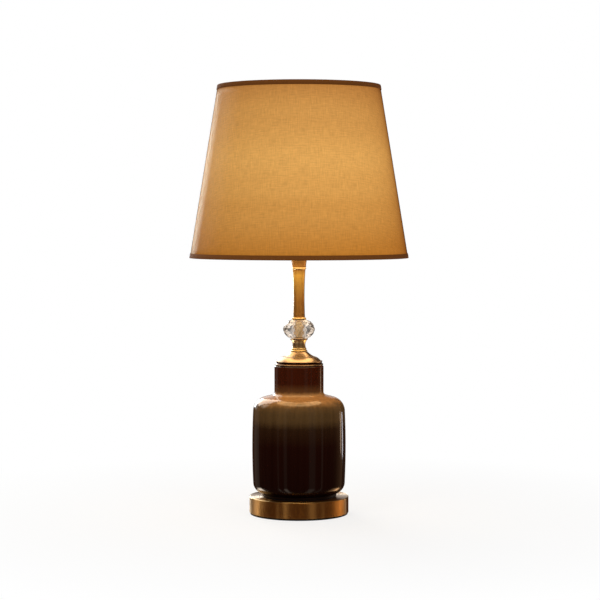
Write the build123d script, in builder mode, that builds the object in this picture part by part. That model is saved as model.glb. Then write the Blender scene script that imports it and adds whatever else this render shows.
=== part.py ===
from build123d import *
from math import cos, radians, sin, sqrt, tan
import os

# Table lamp: a ceramic jar on a brass disc, a crystal bead under a brass stem, and a tapered linen shade.
# Millimetres. The lamp stands on the XY plane, its axis is Z and its back faces +Y.

# Clearances
glue_gap = 0.05
slip_gap = 0.1
moving_gap = 0.4

# Rod that clamps the stack
rod_radius = 5.0
rod_bore_radius = 3.5
rod_gap = 0.3
rod_hole_radius = rod_radius + rod_gap

# Base: pad, disc, weight and cord bush
pad_thickness = 2.0
pad_inset = 1.0
base_radius = 59.0
base_height = 19.0
base_wall = 2.0
base_edge_round = 0.8
weight_height = 12.0
weight_gap = 0.6
nut_pocket_radius = 13.0
nut_pocket_depth = 7.5
cord_height = 6.0
bush_bore_radius = 3.0
bush_neck_radius = 4.0
bush_flange_radius = 5.0
bush_flange_thickness = 1.5
bush_lip_radius = 4.6
bush_lip_thickness = 2.0
washer_radius = 10.0
washer_thickness = 1.5
spring_washer_radius = 8.5
spring_washer_thickness = 2.0
spring_washer_slit = 1.5
nut_across_flats = 16.0
nut_thickness = 4.0
nut_chamfer = 0.6
rod_below_nut = 1.0

# Jar
foot_gasket_thickness = 1.0
foot_radius = 44.5
foot_width = 7.0
foot_height = 2.5
jar_height = 154.3
jar_side_radius = 53.9
jar_belly = 1.7
jar_wall = 5.0
jar_floor = 6.0
lower_round = 13.0
shoulder_slope = 15.0
shoulder_round = 17.0
neck_radius = 29.2
neck_length = 34.1
neck_blend = 4.0
neck_lip_round = 1.0
neck_gasket_thickness = 0.8

# Brass bell cap on the jar's neck
cap_rim_radius = 28.8
cap_rim_height = 1.6
cap_cove_height = 2.4
cap_cove_radius = 27.4
cap_bead_radius = 27.8
cap_bead_height = 1.2
cap_shelf = 2.0
cap_dome_height = 5.0
cap_dome_radius = 18.4
cap_flare_height = 5.4
cap_top_radius = 10.4
cap_wall = 1.6

# Brass pieces and crystal between the cap and the stem
bead_ring_radius = 10.0
bead_ring_height = 4.4
waist_foot_radius = 8.4
waist_radius = 7.6
waist_head_radius = 9.6
waist_height = 10.0
crystal_cup_radius = 10.4
crystal_cup_height = 1.6
crystal_radius = 18.4
crystal_height = 22.0
crystal_crown = 12.8
crystal_sides = 16
crystal_row_tilts = (-66.0, -44.0, -22.0, 0.0, 22.0, 44.0, 66.0)
collar_radius = 8.4
collar_height = 2.8

# Brass stem, its ring and the flared cup under the lampholder
stem_foot_radius = 7.15
stem_waist_radius = 6.55
stem_head_radius = 7.6
stem_height = 57.0
stem_ring_radius = 8.4
stem_ring_height = 2.6
cup_foot_radius = 8.4
cup_flare_radius = 38.6
cup_mouth_radius = 20.5
cup_wall = 1.2

# Lampholder
holder_radius = 20.5
holder_wall = 3.0
holder_floor = 4.0
holder_height = 22.0
hub_radius = 8.5
hub_height = 8.0
grub_radius = 1.5
grub_length = 4.0
insulator_flange_radius = 19.0
insulator_flange_height = 2.0
insulator_radius = 16.5
insulator_height = 4.0
skirt_radius = 20.0
skirt_bore_radius = 17.0
skirt_height = 32.0
skirt_seat_radius = 24.0
skirt_seat_height = 2.5
skirt_groove_pitch = 2.5
skirt_groove_round = 0.7
skirt_grooves = 7
screw_shell_radius = 15.2
screw_shell_bore = 14.3
screw_shell_height = 24.0
thread_pitch = 3.6
thread_round = 0.8
screw_shell_turns = 5
contact_rivet_radius = 2.5
contact_rivet_height = 1.3
contact_leaf_length = 12.0
contact_leaf_width = 5.0
contact_leaf_thickness = 0.6
terminal_spacing = 24.0
terminal_head_radius = 2.6
terminal_head_height = 2.2
terminal_shank_radius = 1.5
terminal_shank_length = 4.0

# Push-bar switch in the lampholder
switch_block_length = 22.0
switch_block_width = 13.0
switch_block_height = 14.0
bar_radius = 3.0
bar_drop = 10.0
bar_travel = 8.0
bar_proud = 3.0
bar_end_round = 1.2

# Shade ring and shade
ring_radius = 26.5
ring_height = 7.0
ring_scallops = 18
ring_scallop_radius = 1.6
ring_edge_round = 0.8
shade_drop = 41.6
shade_height = 204.0
shade_bottom_radius = 130.0
shade_top_radius = 96.5
edging_thickness = 0.7
edging_height = 5.5
linen_thickness = 0.8
liner_thickness = 0.5
wire_radius = 1.5
arm_count = 3
first_arm_angle = 90.0
fitter_radius = 28.0
fitter_thickness = 1.6
weld_depth = 0.4

# Bulb
bulb_tip_radius = 4.5
bulb_tip_height = 1.5
bulb_insulator_radius = 11.5
bulb_insulator_height = 3.4
bulb_cap_radius = 12.3
bulb_cap_height = 22.0
bulb_cap_turns = 4
bulb_body_foot_radius = 13.4
bulb_body_head_radius = 17.2
bulb_body_height = 23.0
bulb_envelope_radius = 18.2
bulb_envelope_height = 57.0
bulb_envelope_wall = 1.0
bulb_nose_radius = 5.0

# Heights of the stack, from the floor up
base_bottom = pad_thickness
base_top = base_bottom + base_height
plate_underside = base_top - base_wall
weight_bottom = plate_underside - weight_height
pocket_ceiling = weight_bottom + nut_pocket_depth
washer_bottom = pocket_ceiling - washer_thickness
spring_washer_bottom = washer_bottom - spring_washer_thickness
nut_bottom = spring_washer_bottom - nut_thickness
rod_bottom = nut_bottom - rod_below_nut
cord_z = base_bottom + cord_height
jar_bottom = base_top + foot_gasket_thickness
jar_top = jar_bottom + jar_height
cap_bottom = jar_top + neck_gasket_thickness
cap_bead_bottom = cap_bottom + cap_rim_height + cap_cove_height
cap_dome_bottom = cap_bead_bottom + cap_bead_height
cap_dome_top = cap_dome_bottom + cap_dome_height
cap_top = cap_dome_top + cap_flare_height
waist_bottom = cap_top + bead_ring_height
crystal_cup_bottom = waist_bottom + waist_height
crystal_bottom = crystal_cup_bottom + crystal_cup_height
crystal_middle = crystal_bottom + crystal_height / 2
collar_bottom = crystal_bottom + crystal_height
stem_bottom = collar_bottom + collar_height
stem_top = stem_bottom + stem_height
cup_bottom = stem_top + stem_ring_height
cup_spread = cup_flare_radius - (cup_mouth_radius - cup_foot_radius)
cup_height = sqrt(cup_flare_radius ** 2 - cup_spread ** 2)
holder_bottom = cup_bottom + cup_height
holder_top = holder_bottom + holder_height
rod_top = holder_bottom + holder_floor
insulator_top = holder_top + insulator_flange_height + insulator_height
skirt_top = holder_top + skirt_height
seat_top = holder_top + skirt_seat_height
fitter_bottom = seat_top + slip_gap
fitter_middle = fitter_bottom + fitter_thickness / 2
ring_bottom = fitter_bottom + fitter_thickness + slip_gap
bar_z = holder_top - bar_drop
contact_leaf_bottom = insulator_top + contact_rivet_height
bulb_bottom = contact_leaf_bottom + contact_leaf_thickness + moving_gap
bulb_insulator_bottom = bulb_bottom + bulb_tip_height
bulb_cap_bottom = bulb_insulator_bottom + bulb_insulator_height
bulb_body_bottom = bulb_cap_bottom + bulb_cap_height
bulb_envelope_bottom = bulb_body_bottom + bulb_body_height
bulb_top = bulb_envelope_bottom + bulb_envelope_height

# Layers of the shade, as depths from the outside of its edging
shade_bottom = fitter_bottom - shade_drop
linen_depth = edging_thickness + glue_gap
liner_depth = linen_depth + linen_thickness + glue_gap
wire_depth = liner_depth + liner_thickness + slip_gap + wire_radius
lip_depth = wire_depth + wire_radius + slip_gap
shade_top = shade_bottom + shade_height
bottom_wire_z = shade_bottom + edging_thickness + slip_gap + wire_radius
top_wire_z = shade_top - edging_thickness - slip_gap - wire_radius


def shade_radius(height, depth):
    """Radius of the shade at a height, at a depth from the outside of its edging."""
    share = (height - shade_bottom) / shade_height
    return shade_bottom_radius + share * (shade_top_radius - shade_bottom_radius) - depth


def rims(piece, radius):
    """Circular edges of one radius on a piece."""
    circles = piece.edges().filter_by(GeomType.CIRCLE)
    return circles.filter_by(lambda edge: abs(edge.radius - radius) < 0.01)


def flat_ring(outer_radius, inner_radius, bottom, height):
    """A flat ring, such as a washer, around the lamp's axis."""
    with BuildPart() as ring:
        with BuildSketch(Plane.XY.offset(bottom)):
            Circle(outer_radius)
            Circle(inner_radius, mode=Mode.SUBTRACT)
        extrude(amount=height)
    return ring.part


def shade_layer(depth, thickness, bottom, top):
    """One conical layer of the shade between two heights."""
    with BuildPart() as layer:
        with BuildSketch(Plane.XZ):
            with BuildLine():
                Polyline(
                    (shade_radius(bottom, depth), bottom),
                    (shade_radius(top, depth), top),
                    (shade_radius(top, depth + thickness), top),
                    (shade_radius(bottom, depth + thickness), bottom),
                    close=True,
                )
            make_face()
        revolve(axis=Axis.Z)
    return layer.part


def wire_ring(height):
    """Round wire that runs inside the shade at a height."""
    with BuildPart() as wire:
        with BuildSketch(Plane.XZ):
            with Locations((shade_radius(height, wire_depth), height)):
                Circle(wire_radius)
        revolve(axis=Axis.Z)
    return wire.part


def edging(edge, turn):
    """Ribbon folded over one edge of the shade. turn is 1 at the bottom edge and -1 at the top one."""
    hem = edge + turn * edging_height
    fold = edge + turn * edging_thickness
    with BuildPart() as ribbon:
        with BuildSketch(Plane.XZ) as section:
            with BuildLine():
                Polyline(
                    (shade_radius(edge, 0), edge),
                    (shade_radius(hem, 0), hem),
                    (shade_radius(hem, edging_thickness), hem),
                    (shade_radius(fold, edging_thickness), fold),
                    (shade_radius(fold, lip_depth), fold),
                    (shade_radius(edge, lip_depth), edge),
                    close=True,
                )
            make_face()
            outer_corner = section.vertices().sort_by_distance((shade_radius(edge, 0), edge))[0]
            fillet(outer_corner, edging_thickness * 0.8)
        revolve(axis=Axis.Z)
    return ribbon.part


def jar_section(inset, bottom, top):
    """Half section of the jar, moved in by an inset, between two heights."""
    slope = tan(radians(shoulder_slope))
    drop = inset / cos(radians(shoulder_slope))
    side = jar_side_radius - inset
    neck = neck_radius - inset
    shoulder_line = jar_top - neck_length + neck_radius * slope - drop
    shoulder_z = shoulder_line - side * slope
    neck_z = shoulder_line - neck * slope
    belly_point = (side + jar_belly, (bottom + shoulder_z) / 2)
    with BuildSketch(Plane.XZ) as section:
        with BuildLine():
            Polyline((side, bottom), (0, bottom), (0, top), (neck, top), (neck, neck_z), (side, shoulder_z))
            ThreePointArc((side, bottom), belly_point, (side, shoulder_z))
        make_face()
        fillet(section.vertices().sort_by_distance((side, bottom))[0], lower_round - inset)
        fillet(section.vertices().sort_by_distance((side, shoulder_z))[0], shoulder_round - inset)
        fillet(section.vertices().sort_by_distance((neck, neck_z))[0], neck_blend + inset)
    return section.sketch


def save(part, label):
    """Labels one finished piece and writes it."""
    part.label = label
    export_step(part, f"parts/{label}.step")


os.makedirs("parts", exist_ok=True)

# Base pad
with BuildPart() as base_pad:
    with BuildSketch():
        Circle(base_radius - pad_inset)
    extrude(amount=pad_thickness)
save(base_pad.part, "base_pad")

# Base disc: a brass pan, open below, with a hole for the rod and one at the back for the cord bush
with BuildPart() as base_disc:
    with BuildSketch(Plane.XY.offset(base_bottom)):
        Circle(base_radius)
    extrude(amount=base_height)
    fillet(base_disc.edges().group_by(Axis.Z)[-1], base_edge_round)
    with BuildSketch(Plane.XY.offset(base_bottom)):
        Circle(base_radius - base_wall)
    extrude(amount=base_height - base_wall, mode=Mode.SUBTRACT)
    with BuildSketch(Plane.XY.offset(plate_underside)):
        Circle(rod_hole_radius)
    extrude(amount=base_wall, mode=Mode.SUBTRACT)
    with BuildSketch(Plane.XZ):
        with Locations((0, cord_z)):
            Circle(bush_neck_radius + slip_gap)
    extrude(amount=-base_radius, mode=Mode.SUBTRACT)
save(base_disc.part, "base_disc")

# Weight under the disc's plate, with a pocket for the nut and a channel for a cord
with BuildPart() as base_weight:
    with BuildSketch(Plane.XY.offset(weight_bottom)):
        Circle(base_radius - base_wall - weight_gap)
        Circle(rod_hole_radius, mode=Mode.SUBTRACT)
    extrude(amount=weight_height)
    with BuildSketch(Plane.XY.offset(weight_bottom)):
        Circle(nut_pocket_radius)
    extrude(amount=nut_pocket_depth, mode=Mode.SUBTRACT)
    with BuildSketch(Plane.XY.offset(weight_bottom)):
        with Locations((0, base_radius / 2)):
            Rectangle(2 * bush_flange_radius + 2, base_radius)
    extrude(amount=cord_z + bush_flange_radius + 1 - weight_bottom, mode=Mode.SUBTRACT)
save(base_weight.part, "base_weight")

# Cord bush: a flange outside the wall, a neck through it and a snap lip inside
bush_outer_face = base_radius + bush_flange_thickness
bush_lip_face = sqrt((base_radius - base_wall) ** 2 - bush_lip_radius ** 2) - slip_gap
bush_inner_face = bush_lip_face - bush_lip_thickness
with BuildPart() as cord_bush:
    with BuildSketch(Plane.XZ.offset(-bush_inner_face)):
        with Locations((0, cord_z)):
            Circle(bush_lip_radius)
    extrude(amount=-bush_lip_thickness)
    with BuildSketch(Plane.XZ.offset(-bush_lip_face)):
        with Locations((0, cord_z)):
            Circle(bush_neck_radius)
    extrude(amount=bush_lip_face - base_radius)
    with BuildSketch(Plane.XZ.offset(-base_radius)):
        with Locations((0, cord_z)):
            Circle(bush_flange_radius)
    extrude(amount=-bush_flange_thickness)
    with BuildSketch(Plane.XZ.offset(-bush_inner_face)):
        with Locations((0, cord_z)):
            Circle(bush_bore_radius)
    extrude(amount=bush_inner_face - bush_outer_face, mode=Mode.SUBTRACT)
    fillet(cord_bush.edges().group_by(Axis.Y)[-1].sort_by(SortBy.RADIUS)[-1], 0.5)
save(cord_bush.part, "cord_bush")

# Fastening under the base: flat washer, split spring washer and hex nut
save(flat_ring(washer_radius, rod_hole_radius, washer_bottom, washer_thickness), "rod_washer")

with BuildPart() as spring_washer:
    with BuildSketch(Plane.XY.offset(spring_washer_bottom)):
        Circle(spring_washer_radius)
        Circle(rod_hole_radius, mode=Mode.SUBTRACT)
        with Locations((spring_washer_radius / 2, 0)):
            Rectangle(spring_washer_radius, spring_washer_slit, mode=Mode.SUBTRACT)
    extrude(amount=spring_washer_thickness)
save(spring_washer.part, "rod_spring_washer")

with BuildPart() as rod_nut:
    with BuildSketch(Plane.XY.offset(nut_bottom)):
        RegularPolygon(nut_across_flats / 2, 6, major_radius=False)
        Circle(rod_radius + slip_gap, mode=Mode.SUBTRACT)
    extrude(amount=nut_thickness)
    chamfer(rod_nut.edges().filter_by(GeomType.LINE).group_by(Axis.Z)[0], nut_chamfer)
save(rod_nut.part, "rod_nut")

# Rod through the whole stack
save(flat_ring(rod_radius, rod_bore_radius, rod_bottom, rod_top - rod_bottom), "threaded_rod")

# Jar: hollow, on a foot ring, with a hole in its floor and an open neck
save(flat_ring(foot_radius - 1, foot_radius - foot_width + 1, base_top, foot_gasket_thickness), "foot_gasket")

with BuildPart() as ceramic_jar:
    revolve(jar_section(0, jar_bottom + foot_height, jar_top), axis=Axis.Z)
    fillet(ceramic_jar.edges().group_by(Axis.Z)[-1], neck_lip_round)
    revolve(
        jar_section(jar_wall, jar_bottom + foot_height + jar_floor, jar_top),
        axis=Axis.Z,
        mode=Mode.SUBTRACT,
    )
    with BuildSketch(Plane.XY.offset(jar_bottom)):
        Circle(foot_radius)
        Circle(foot_radius - foot_width, mode=Mode.SUBTRACT)
    extrude(amount=foot_height)
    with BuildSketch(Plane.XY.offset(jar_bottom)):
        Circle(rod_hole_radius + 2)
    extrude(amount=foot_height + jar_floor, mode=Mode.SUBTRACT)
save(ceramic_jar.part, "ceramic_jar")

neck_gasket_radius = neck_radius - neck_lip_round - 0.5
save(
    flat_ring(neck_gasket_radius, neck_radius - jar_wall, jar_top, neck_gasket_thickness),
    "neck_gasket",
)

# Bell cap: rim, cove, bead, shelf, dome and flare, hollow below the dome
cap_cove_bottom = cap_bottom + cap_rim_height
cap_bead_middle = cap_bead_bottom + cap_bead_height / 2
cap_dome_foot = cap_bead_radius - cap_shelf
cap_hollow_radius = cap_cove_radius - cap_wall
with BuildPart() as bell_cap:
    with BuildSketch(Plane.XZ):
        with BuildLine():
            Polyline(
                (cap_dome_foot, cap_dome_bottom),
                (cap_cove_radius, cap_dome_bottom),
            )
            ThreePointArc(
                (cap_cove_radius, cap_dome_bottom),
                (cap_bead_radius, cap_bead_middle),
                (cap_cove_radius, cap_bead_bottom),
            )
            ThreePointArc(
                (cap_cove_radius, cap_bead_bottom),
                (cap_cove_radius, cap_cove_bottom + cap_cove_height * 0.4),
                (cap_rim_radius - 0.3, cap_cove_bottom),
            )
            Polyline(
                (cap_rim_radius - 0.3, cap_cove_bottom),
                (cap_rim_radius, cap_cove_bottom - 0.3),
                (cap_rim_radius, cap_bottom + 0.3),
                (cap_rim_radius - 0.3, cap_bottom),
                (cap_hollow_radius, cap_bottom),
                (cap_hollow_radius, cap_bead_bottom),
            )
            ThreePointArc(
                (cap_hollow_radius, cap_bead_bottom),
                (cap_hollow_radius - 2.6, cap_bead_bottom + cap_dome_height * 0.45),
                (cap_dome_radius - cap_wall, cap_dome_top - cap_wall),
            )
            Polyline(
                (cap_dome_radius - cap_wall, cap_dome_top - cap_wall),
                (rod_hole_radius, cap_dome_top - cap_wall),
                (rod_hole_radius, cap_top),
                (cap_top_radius, cap_top),
            )
            ThreePointArc(
                (cap_top_radius, cap_top),
                (cap_top_radius + 3.4, cap_top - cap_flare_height * 0.55),
                (cap_dome_radius, cap_dome_top),
            )
            ThreePointArc(
                (cap_dome_radius, cap_dome_top),
                (cap_dome_foot - 2.2, cap_dome_bottom + cap_dome_height * 0.48),
                (cap_dome_foot, cap_dome_bottom),
            )
        make_face()
    revolve(axis=Axis.Z)
save(bell_cap.part, "bell_cap")

# Bead ring on the cap: two half-round beads in one piece
with BuildPart() as bead_ring:
    with BuildSketch(Plane.XZ):
        with BuildLine():
            Polyline(
                (bead_ring_radius - 0.7, cap_top),
                (rod_hole_radius, cap_top),
                (rod_hole_radius, waist_bottom),
                (waist_foot_radius, waist_bottom),
            )
            ThreePointArc(
                (waist_foot_radius, waist_bottom),
                (waist_foot_radius + 0.6, waist_bottom - bead_ring_height * 0.25),
                (waist_foot_radius, cap_top + bead_ring_height / 2),
            )
            Line(
                (waist_foot_radius, cap_top + bead_ring_height / 2),
                (bead_ring_radius - 0.7, cap_top + bead_ring_height / 2),
            )
            ThreePointArc(
                (bead_ring_radius - 0.7, cap_top + bead_ring_height / 2),
                (bead_ring_radius, cap_top + bead_ring_height / 4),
                (bead_ring_radius - 0.7, cap_top),
            )
        make_face()
    revolve(axis=Axis.Z)
save(bead_ring.part, "bead_ring")

# Waist: a short hollow-sided column
with BuildPart() as waist:
    with BuildSketch(Plane.XZ):
        with BuildLine():
            Polyline(
                (waist_foot_radius, waist_bottom),
                (rod_hole_radius, waist_bottom),
                (rod_hole_radius, crystal_cup_bottom),
                (waist_head_radius, crystal_cup_bottom),
            )
            ThreePointArc(
                (waist_head_radius, crystal_cup_bottom),
                (waist_radius, waist_bottom + waist_height * 0.4),
                (waist_foot_radius, waist_bottom),
            )
        make_face()
    revolve(axis=Axis.Z)
save(waist.part, "waist")

# Crystal cup: the rounded lip that the crystal stands on
with BuildPart() as crystal_cup:
    with BuildSketch(Plane.XY.offset(crystal_cup_bottom)):
        Circle(crystal_cup_radius)
        Circle(rod_hole_radius, mode=Mode.SUBTRACT)
    extrude(amount=crystal_cup_height)
    fillet(rims(crystal_cup, crystal_cup_radius), crystal_cup_height * 0.4)
save(crystal_cup.part, "crystal_cup")

# Crystal: flats ground in rows around an oval blank, then bored for the rod
with BuildPart() as crystal:
    with BuildSketch(Plane.XY.offset(crystal_bottom)):
        Circle(crystal_radius * 1.2)
    extrude(amount=crystal_height)
    for row, tilt in enumerate(crystal_row_tilts):
        level = sin(radians(tilt))
        reach = cos(radians(tilt))
        depth = sqrt((crystal_radius * reach) ** 2 + (crystal_crown * level) ** 2)
        for side in range(crystal_sides):
            turn = (side + row % 2 / 2) * 360 / crystal_sides
            outward = Vector(reach, 0, level).rotate(Axis.Z, turn)
            flat = Plane(origin=Vector(0, 0, crystal_middle) + outward * depth, z_dir=outward)
            split(bisect_by=flat, keep=Keep.BOTTOM)
    with BuildSketch(Plane.XY.offset(crystal_bottom)):
        Circle(rod_hole_radius)
    extrude(amount=crystal_height, mode=Mode.SUBTRACT)
save(crystal.part, "crystal")

# Crystal collar: the ring between the crystal and the stem
with BuildPart() as crystal_collar:
    with BuildSketch(Plane.XY.offset(collar_bottom)):
        Circle(collar_radius)
        Circle(rod_hole_radius, mode=Mode.SUBTRACT)
    extrude(amount=collar_height)
    fillet(rims(crystal_collar, collar_radius), collar_height * 0.35)
save(crystal_collar.part, "crystal_collar")

# Stem: a tube that narrows in the middle
with BuildPart() as stem:
    with BuildSketch(Plane.XZ):
        with BuildLine():
            Polyline(
                (stem_foot_radius, stem_bottom),
                (rod_hole_radius, stem_bottom),
                (rod_hole_radius, stem_top),
                (stem_head_radius, stem_top),
            )
            ThreePointArc(
                (stem_head_radius, stem_top),
                (stem_waist_radius, (stem_bottom + stem_top) / 2),
                (stem_foot_radius, stem_bottom),
            )
        make_face()
    revolve(axis=Axis.Z)
save(stem.part, "stem")

# Stem ring
with BuildPart() as stem_ring:
    with BuildSketch(Plane.XY.offset(stem_top)):
        Circle(stem_ring_radius)
        Circle(rod_hole_radius, mode=Mode.SUBTRACT)
    extrude(amount=stem_ring_height)
    fillet(rims(stem_ring, stem_ring_radius), stem_ring_height * 0.35)
save(stem_ring.part, "stem_ring")

# Flared cup that carries the lampholder
cup_floor = 2.5
cup_turn_radius = cup_flare_radius + cup_wall
cup_inner_foot = cup_foot_radius + cup_flare_radius - sqrt(cup_turn_radius ** 2 - cup_floor ** 2)
cup_inner_mouth = cup_foot_radius + cup_flare_radius - sqrt(cup_turn_radius ** 2 - cup_height ** 2)
with BuildPart() as stem_cup:
    with BuildSketch(Plane.XZ):
        with BuildLine():
            Polyline(
                (cup_foot_radius, cup_bottom),
                (rod_hole_radius, cup_bottom),
                (rod_hole_radius, cup_bottom + cup_floor),
                (cup_inner_foot, cup_bottom + cup_floor),
            )
            RadiusArc(
                (cup_inner_foot, cup_bottom + cup_floor),
                (cup_inner_mouth, holder_bottom),
                cup_turn_radius,
            )
            Line((cup_inner_mouth, holder_bottom), (cup_mouth_radius, holder_bottom))
            RadiusArc(
                (cup_foot_radius, cup_bottom),
                (cup_mouth_radius, holder_bottom),
                cup_flare_radius,
            )
        make_face()
    revolve(axis=Axis.Z)
save(stem_cup.part, "stem_cup")

# Lampholder housing: a cup with a threaded hub below and holes across it for the push bar
with BuildPart() as holder_housing:
    with BuildSketch(Plane.XY.offset(holder_bottom)):
        Circle(holder_radius)
    extrude(amount=holder_height)
    with BuildSketch(Plane.XY.offset(rod_top)):
        Circle(holder_radius - holder_wall)
    extrude(amount=holder_height - holder_floor, mode=Mode.SUBTRACT)
    with BuildSketch(Plane.XY.offset(holder_bottom - hub_height)):
        Circle(hub_radius)
    extrude(amount=hub_height)
    with BuildSketch(Plane.XY.offset(holder_bottom - hub_height)):
        Circle(rod_radius + slip_gap)
    extrude(amount=hub_height + holder_floor, mode=Mode.SUBTRACT)
    with BuildSketch(Plane.YZ):
        with Locations((0, bar_z)):
            Circle(bar_radius + moving_gap)
    extrude(amount=holder_radius, both=True, mode=Mode.SUBTRACT)
    with BuildSketch(Plane.XZ):
        with Locations((0, holder_bottom - hub_height / 2)):
            Circle(grub_radius + glue_gap)
    extrude(amount=hub_radius, mode=Mode.SUBTRACT)
save(holder_housing.part, "holder_housing")

with BuildPart() as grub_screw:
    with BuildSketch(Plane.XZ.offset(rod_radius + slip_gap)):
        with Locations((0, holder_bottom - hub_height / 2)):
            Circle(grub_radius)
    extrude(amount=grub_length)
save(grub_screw.part, "grub_screw")

# Insulator across the housing, with two holes for the terminal screws
with BuildPart() as holder_insulator:
    with BuildSketch(Plane.XY.offset(holder_top)):
        Circle(insulator_flange_radius)
    extrude(amount=insulator_flange_height)
    with BuildSketch(Plane.XY.offset(holder_top + insulator_flange_height)):
        Circle(insulator_radius)
    extrude(amount=insulator_height)
    with BuildSketch(Plane.XY.offset(holder_top)):
        with GridLocations(0, terminal_spacing, 1, 2):
            Circle(terminal_shank_radius + glue_gap)
    extrude(amount=terminal_shank_length, mode=Mode.SUBTRACT)
save(holder_insulator.part, "holder_insulator")

with BuildPart() as terminal_screws:
    with BuildSketch(Plane.XY.offset(holder_top - terminal_head_height)):
        with GridLocations(0, terminal_spacing, 1, 2):
            Circle(terminal_head_radius)
    extrude(amount=terminal_head_height)
    with BuildSketch(Plane.XY.offset(holder_top)):
        with GridLocations(0, terminal_spacing, 1, 2):
            Circle(terminal_shank_radius)
    extrude(amount=terminal_shank_length)
save(terminal_screws.part, "terminal_screws")

# Threaded skirt: its seat carries the shade, its grooves stand for the outer thread
groove_spots = []
for groove in range(skirt_grooves):
    groove_spots.append((skirt_radius, seat_top + (groove + 1.5) * skirt_groove_pitch))
with BuildPart() as holder_skirt:
    with BuildSketch(Plane.XY.offset(holder_top)):
        Circle(skirt_seat_radius)
    extrude(amount=skirt_seat_height)
    with BuildSketch(Plane.XY.offset(holder_top)):
        Circle(skirt_radius)
    extrude(amount=skirt_height)
    with BuildSketch(Plane.XZ):
        with Locations(*groove_spots):
            Circle(skirt_groove_round)
    revolve(axis=Axis.Z, mode=Mode.SUBTRACT)
    with BuildSketch(Plane.XY.offset(holder_top)):
        Circle(insulator_flange_radius + slip_gap)
    extrude(amount=insulator_flange_height + slip_gap, mode=Mode.SUBTRACT)
    with BuildSketch(Plane.XY.offset(holder_top)):
        Circle(skirt_bore_radius)
    extrude(amount=skirt_height, mode=Mode.SUBTRACT)
save(holder_skirt.part, "holder_skirt")

# Screw shell with rounded ridges inside
shell_ridges = []
for ridge in range(screw_shell_turns):
    shell_ridges.append((screw_shell_bore, insulator_top + (ridge + 1.2) * thread_pitch))
with BuildPart() as screw_shell:
    with BuildSketch(Plane.XY.offset(insulator_top)):
        Circle(screw_shell_radius)
        Circle(screw_shell_bore, mode=Mode.SUBTRACT)
    extrude(amount=screw_shell_height)
    with BuildSketch(Plane.XZ):
        with Locations(*shell_ridges):
            Circle(thread_round)
    revolve(axis=Axis.Z)
save(screw_shell.part, "screw_shell")

# Centre contact: a rivet and a spring leaf
with BuildPart() as centre_contact:
    with BuildSketch(Plane.XY.offset(insulator_top)):
        Circle(contact_rivet_radius)
    extrude(amount=contact_rivet_height)
    with BuildSketch(Plane.XY.offset(contact_leaf_bottom)):
        SlotOverall(contact_leaf_length, contact_leaf_width)
    extrude(amount=contact_leaf_thickness)
save(centre_contact.part, "centre_contact")

# Switch block under the insulator, and the push bar through it
with BuildPart() as switch_block:
    with BuildSketch(Plane.XY.offset(holder_top - switch_block_height)):
        Rectangle(switch_block_length, switch_block_width)
    extrude(amount=switch_block_height)
    with BuildSketch(Plane.YZ):
        with Locations((0, bar_z)):
            Circle(bar_radius + moving_gap)
    extrude(amount=switch_block_length, both=True, mode=Mode.SUBTRACT)
save(switch_block.part, "switch_block")

bar_left = holder_radius + bar_proud + bar_travel
bar_right = holder_radius + bar_proud
with BuildPart() as push_bar:
    with BuildSketch(Plane.YZ.offset(-bar_left)):
        with Locations((0, bar_z)):
            Circle(bar_radius)
    extrude(amount=bar_left + bar_right)
    fillet(push_bar.edges().filter_by(GeomType.CIRCLE), bar_end_round)
save(push_bar.part, "push_bar")

# Shade ring: a thick ring with scallops for the fingers
with BuildPart() as shade_ring:
    with BuildSketch(Plane.XY.offset(ring_bottom)):
        Circle(ring_radius)
        Circle(skirt_radius + moving_gap, mode=Mode.SUBTRACT)
    extrude(amount=ring_height)
    fillet(rims(shade_ring, ring_radius), ring_edge_round)
    with BuildSketch(Plane.XY.offset(ring_bottom)):
        with PolarLocations(ring_radius + ring_scallop_radius * 0.4, ring_scallops):
            Circle(ring_scallop_radius)
    extrude(amount=ring_height, mode=Mode.SUBTRACT)
save(shade_ring.part, "shade_ring")

# Shade frame: fitter ring on the lampholder, three arms and two wire rings
save(
    flat_ring(fitter_radius, skirt_radius + moving_gap, fitter_bottom, fitter_thickness),
    "fitter_ring",
)
save(wire_ring(bottom_wire_z), "shade_bottom_wire")
save(wire_ring(top_wire_z), "shade_top_wire")

with BuildPart() as shade_arms:
    for arm in range(arm_count):
        arm_angle = first_arm_angle + arm * 360 / arm_count
        inner_end = Vector(fitter_radius - weld_depth, 0, fitter_middle).rotate(Axis.Z, arm_angle)
        outer_radius = shade_radius(bottom_wire_z, wire_depth)
        outer_end = Vector(outer_radius, 0, bottom_wire_z).rotate(Axis.Z, arm_angle)
        with BuildSketch(Plane(origin=inner_end, z_dir=outer_end - inner_end)):
            Circle(wire_radius)
        extrude(amount=(outer_end - inner_end).length)
save(shade_arms.part, "shade_arms")

# Shade covering: liner inside, linen outside, ribbon folded over both edges
layer_bottom = shade_bottom + edging_thickness + glue_gap
layer_top = shade_top - edging_thickness - glue_gap
save(shade_layer(liner_depth, liner_thickness, layer_bottom, layer_top), "shade_liner")
save(shade_layer(linen_depth, linen_thickness, layer_bottom, layer_top), "shade_linen")
save(edging(shade_bottom, 1), "shade_bottom_edging")
save(edging(shade_top, -1), "shade_top_edging")

# Bulb contact and insulator
with BuildPart() as bulb_contact:
    with BuildSketch(Plane.XY.offset(bulb_bottom)):
        Circle(bulb_tip_radius)
    extrude(amount=bulb_tip_height)
    fillet(bulb_contact.edges().group_by(Axis.Z)[0], bulb_tip_height * 0.6)
save(bulb_contact.part, "bulb_contact")

with BuildPart() as bulb_insulator:
    with BuildSketch(Plane.XY.offset(bulb_insulator_bottom)):
        Circle(bulb_tip_radius + 0.5)
    with BuildSketch(Plane.XY.offset(bulb_cap_bottom)):
        Circle(bulb_insulator_radius)
    loft()
save(bulb_insulator.part, "bulb_insulator")

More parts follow.
